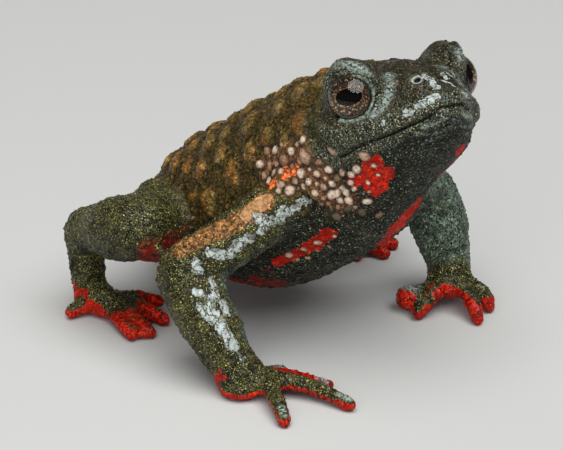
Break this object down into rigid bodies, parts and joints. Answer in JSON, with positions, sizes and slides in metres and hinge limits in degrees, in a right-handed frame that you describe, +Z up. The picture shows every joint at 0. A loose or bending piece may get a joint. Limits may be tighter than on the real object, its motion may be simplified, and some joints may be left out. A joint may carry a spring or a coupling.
{
  "type": "maldonada redbelly toad",
  "caption": "Life-size still model of a small warty toad with a red throat patch, propped on its front legs with the head raised.",
  "frame": {"origin": "on the floor, under the middle of the toad's box", "axes": "+X the way the trunk points, +Y to the toad's left, +Z up from the floor it stands on"},
  "size_m": [0.023, 0.0211, 0.018],
  "materials": {
    "body_skin": "moist warty skin, dark olive with red, cream and tan markings",
    "eye": "wet and glossy"
  },
  "bodies": {
    "root": {"head": "body_skin", "torso": "body_skin", "left_eye": "eye", "right_eye": "eye", "left_upper_arm": "body_skin", "left_forearm": "body_skin", "left_hand": "body_skin", "right_upper_arm": "body_skin", "right_forearm": "body_skin", "right_hand": "body_skin", "left_thigh": "body_skin", "left_shank": "body_skin", "left_foot": "body_skin", "right_thigh": "body_skin", "right_shank": "body_skin", "right_foot": "body_skin"}
  },
  "joints": []
}
